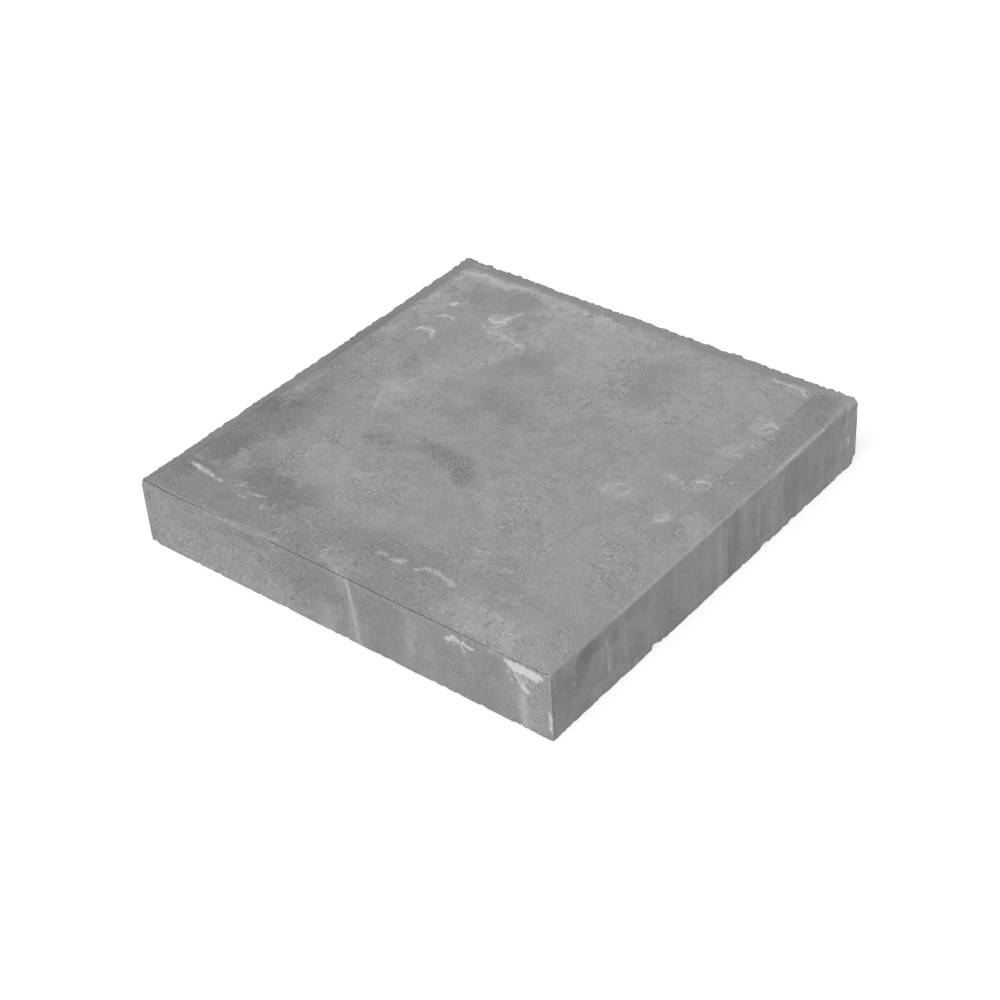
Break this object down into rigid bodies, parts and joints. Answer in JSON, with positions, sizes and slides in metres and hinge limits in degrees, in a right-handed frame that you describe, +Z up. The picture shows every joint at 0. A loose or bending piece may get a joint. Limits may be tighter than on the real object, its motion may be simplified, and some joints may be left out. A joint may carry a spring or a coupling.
{
  "type": "concrete pillar cap",
  "caption": "Square precast concrete pillar cap with upright edges, a sloping border round a raised flat panel, and a drip groove under the rim.",
  "frame": {"origin": "centre of the bed, the flat underside that rests on the pillar", "axes": "+Z up out of the panel, X and Y along the two pairs of upright edges"},
  "size_m": [0.4, 0.4, 0.072],
  "materials": {
    "concrete": "matte"
  },
  "bodies": {
    "root": {"cap": "concrete"}
  },
  "joints": []
}
